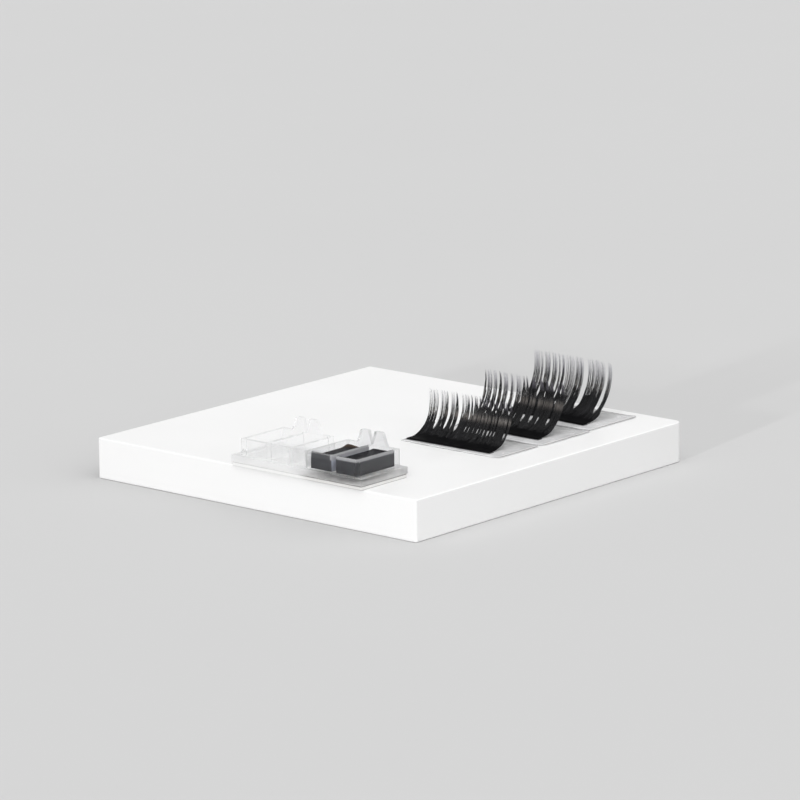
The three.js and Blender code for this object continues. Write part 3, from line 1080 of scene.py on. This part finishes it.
adhesive = Finish("black_adhesive")
band_grain = adhesive.mask(small_specks, Scale=2500.0, Size=0.5)
band_haze = adhesive.mask(soft_haze, Scale=500.0)
adhesive.feed({
    "Base Color": adhesive.blend(band_haze, (0.010, 0.010, 0.011), (0.022, 0.022, 0.024)),
    "Roughness": adhesive.span(band_grain, 0.42, 0.6),
})
adhesive.bump(band_grain, 0.01 * mm, 0.6)

for strip in strips:
    near_left = Vector((-band_length / 2, 0, film_thickness))
    band = block(near_left, Vector((band_length / 2, band_flat, band_top)))
    to_strip = Matrix.Translation(strip.origin) @ strip.turn
    bmesh.ops.transform(band, verts=band.verts, matrix=to_strip)
    node = f"lash_band_{strip.name}"
    band_piece = put(band, f"band_{strip.name}", strip.body, "black_band", [adhesive], node)
    ease_edges(band_piece, band_edge)

# %% [markdown]
# ## The lashes
#
# A lash is a glossy black fibre that tapers to a point. Hundreds of them stand in a row, their
# roots fused. Above the roots they gather into bundles that part from each other, so light slits
# open between the bundles and only fine points are left at the top. A particle system would give
# hair that can't be exported, so each fibre is a short tapering curve, and the curves are made
# one mesh. The fused roots, and above them the part of each bundle that sticks together, are
# grids bent along the same curl and made thin solids.
#
# A row of shine runs where the curl turns towards the light. It is a painted highlight on the
# mesh, streaked from tuft to tuft. The paler tone towards the tips is painted light as well, for
# the bright room that shows through the fine points. Single loose hairs look pale against a bright
# room, so their painted paleness is a finish of their own.

# %% Lash finish
fibre = Finish("black_fibre")
lash_haze = fibre.mask(soft_haze, Scale=800.0)
lash_dark = fibre.blend(lash_haze, (0.004, 0.004, 0.005), (0.009, 0.009, 0.010))
lash_lit = fibre.blend(fibre.painted("shine"), lash_dark, (0.22, 0.20, 0.185))
# A blend takes a share below 0 as 0, so the paler tone, painted light towards the tips, starts only
# half way along the layer.
late_tip = fibre.span(fibre.painted("towards_tip"), -1.2, 1.0)
fibre.feed({
    "Base Color": fibre.blend(late_tip, lash_lit, (0.13, 0.124, 0.143)),
    "Roughness": fibre.span(lash_haze, 0.22, 0.3),
    "Specular IOR Level": 0.3,
})

fused = Finish("fused_root")
root_haze = fused.mask(soft_haze, Scale=500.0)
root_streaks = fused.mask(fine_rubs, Scale=2600.0, Stretch=0.05)
fused.feed({
    "Base Color": fused.blend(root_haze, (0.002, 0.002, 0.0025), (0.005, 0.005, 0.0055)),
    "Roughness": fused.span(root_streaks, 0.5, 0.65),
    "Specular IOR Level": 0.03,
})
fused.bump(root_streaks, 0.01 * mm, 0.5)

wispy = Finish("pale_fibre")
pale_haze = wispy.mask(soft_haze, Scale=800.0)
# Painted light: loose hairs turn pale towards their tips, for the bright room seen through them.
pale_top = wispy.blend(pale_haze, (0.26, 0.25, 0.31), (0.36, 0.345, 0.41))
pale_tip = wispy.painted("towards_tip")
wispy.feed({
    "Base Color": wispy.blend(pale_tip, (0.02, 0.02, 0.022), pale_top),
    "Roughness": 0.4, "Specular IOR Level": 0.2,
})

lash_finishes = [fibre, fused, wispy]
lash_slot, root_slot, pale_slot = range(3)
print("finishes:", [finish.material.name for finish in lash_finishes])

# %% Lash fibres
fibre_root = 0.06 * mm
fibre_tip = 0.005 * mm
fibre_points = 16
fibres_per_mm = 26
left_drift = -0.35 * mm
right_drift = 0.3 * mm
tip_margin = 0.06 * mm
strong_share, strong_thickness = 0.05, 1.2
spiked_from = 0.68
loose_thickness = 0.6
gather_length = 3.5 * mm
point_length = 4.5 * mm
lean_from = 7 * mm
gather_pull = 0.42
spike_pull, tuft_pull = 0.43, 0.2
loose_taper, spike_taper, tuft_taper = 1.0, 1.3, 2.2


def fibre_curves(strip):
    """One curve with every fibre of the row. Above its stuck length, a bundle parts into tufts."""
    draw = random.Random(strip.seed)
    curve = bpy.data.curves.new(f"fibres_{strip.name}", "CURVE")
    curve.dimensions = "3D"
    curve.bevel_depth = 1.0
    curve.bevel_resolution = 0
    curve.use_fill_caps = True
    for finish in lash_finishes:
        curve.materials.append(finish.material)
    for bundle in strip.bundles:
        spiked = bundle.stuck > spiked_from * strip.length
        tuft_shares = [(i + draw.uniform(0.35, 0.65)) / bundle.tufts for i in range(bundle.tufts)]
        for _ in range(round((bundle.right - bundle.left) / mm * fibres_per_mm)):
            share = draw.random()
            tuft = bundle.free(tuft_shares[min(bundle.tufts - 1, int(share * bundle.tufts))])
            strong = draw.random() < strong_share
            loose = not strong and not spiked and draw.random() < strip.loose
            bend = 1.0 - abs(draw.gauss(0, 0.015))
            height = draw.uniform(0.06, 0.28) * mm
            length = (strip.length - tip_margin) * (1 - abs(draw.gauss(0, 0.04)) * (not strong))
            start = draw.uniform(4.0, 6.0) * mm
            drift = draw.gauss(0, 0.12) * mm
            thick = fibre_root * (strong_thickness if strong else draw.uniform(0.8, 1.1))
            thick *= loose_thickness if loose else 1.0
            taper = loose_taper if loose else spike_taper if strong or spiked else tuft_taper
            along_band = bundle.root(share) / band_length + 0.5
            lean = left_drift + (right_drift - left_drift) * along_band
            pull = spike_pull if spiked else tuft_pull
            spline = curve.splines.new("POLY")
            spline.points.add(fibre_points - 1)
            spline.material_index = pale_slot if loose else lash_slot
            for index, point in enumerate(spline.points):
                distance = start + (length - start) * index / (fibre_points - 1)
                gathered = smooth_step(bundle.stuck, bundle.stuck + gather_length, distance)
                pointed = smooth_step(length - point_length, length, distance)
                x = bundle.at(share, distance)
                if not loose:
                    x += (tuft - x) * (gather_pull * gathered + pull * pointed)
                x += drift * gathered + lean * smooth_step(lean_from, length, distance)
                free = min(1.0, max(0.0, (distance - bundle.stuck) / (length - bundle.stuck)))
                point.co = (*strip.curl(x, distance, height * (1 - 0.5 * gathered), bend), 1)
                point.radius = fibre_tip + (thick - fibre_tip) * (1 - free) ** taper
    return curve


# %% Fused roots
root_columns, sheet_rows = 150, 14
root_reach = part_from + 0.15 * mm
root_thickness = 0.16 * mm
root_height = 0.22 * mm
ridge_height, ridge_width, ridge_length = 0.03 * mm, 0.16 * mm, 4 * mm
sheet_thickness = 0.05 * mm
sheet_from = 5 * mm
sheet_height = 0.02 * mm
sheet_column = 0.15 * mm
ragged_depth, ragged_width = 1.2 * mm, 0.2 * mm


def bent_sheet(bm, columns, rows, thickness, place):
    """A thin solid grid whose points go where place(across, along) says, both from 0 to 1."""
    made = bmesh.ops.create_grid(bm, x_segments=columns, y_segments=rows, size=0.5)["verts"]
    for vert in made:
        vert.co = place(vert.co.x + 0.5, vert.co.y + 0.5)
    faces = list(dict.fromkeys(face for vert in made for face in vert.link_faces))
    bmesh.ops.solidify(bm, geom=faces, thickness=thickness)


def fused_roots(bm, strip):
    """The black root strip, and above it a stuck sheet in each bundle with a ragged upper edge."""
    first, last = strip.bundles[0].left, strip.bundles[-1].right

    def root_place(across, along):
        x = first + across * (last - first)
        distance = along * root_reach
        ridge = noise.noise(Vector((x / ridge_width, distance / ridge_length, strip.seed)))
        return strip.curl(x, distance, root_height + ridge_height * ridge)

    bent_sheet(bm, root_columns, sheet_rows, root_thickness, root_place)
    for bundle in strip.bundles:

        def sheet_place(across, along):
            share = 0.01 + 0.98 * across
            spot = Vector((bundle.root(share) / ragged_width, strip.seed, 0))
            reach = bundle.stuck - ragged_depth * (0.5 + 0.5 * noise.noise(spot))
            distance = sheet_from + along * (reach - sheet_from)
            return strip.curl(bundle.at(share, distance), distance, sheet_height)

        columns = max(3, round((bundle.right - bundle.left) / sheet_column))
        bent_sheet(bm, columns, sheet_rows, sheet_thickness, sheet_place)


# %% Painted shine
shine_share = 0.627
shine_width = 0.045
streak_width = 0.45 * mm
pale_from, pale_to = 0.66, 0.95


def round_curl(strip, place):
    """How far round the curl a place lies, from 0 at the band to 1 at the tips, and its x."""
    local = strip.turn.inverted() @ (place - strip.origin)
    arc = math.atan2(local.y - band_flat, strip.radius + band_top - local.z)
    return arc / curl_turn, local.x


def shine_at(share, x):
    """The soft row of shine, streaked from tuft to tuft."""
    streak = 0.65 + 0.6 * noise.noise(Vector((x / streak_width, 0, 0)))
    return streak * math.exp(-((share - shine_share) / shine_width) ** 2)


# %% Lash rows


def make_lashes(strip):
    curve = fibre_curves(strip)
    holder = bpy.data.objects.new(curve.name, curve)
    scene.collection.objects.link(holder)
    depsgraph = bpy.context.evaluated_depsgraph_get()
    fibre_mesh = bpy.data.meshes.new_from_object(holder.evaluated_get(depsgraph))
    bpy.data.objects.remove(holder)
    row = bmesh.new()
    fused_roots(row, strip)
    for face in row.faces:
        face.material_index = root_slot
    row.from_mesh(fibre_mesh)
    bpy.data.meshes.remove(fibre_mesh)
    towards_tip = row.verts.layers.float.new("towards_tip")
    shine = row.verts.layers.float.new("shine")
    for vert in row.verts:
        share, x = round_curl(strip, vert.co)
        vert[towards_tip] = smooth_step(pale_from, pale_to, share)
        vert[shine] = shine_at(share, x)
    node = f"lashes_{strip.name}"
    put(row, f"lashes_{strip.name}_row", strip.body, "black_lash", lash_finishes, node)


for strip in strips:
    make_lashes(strip)
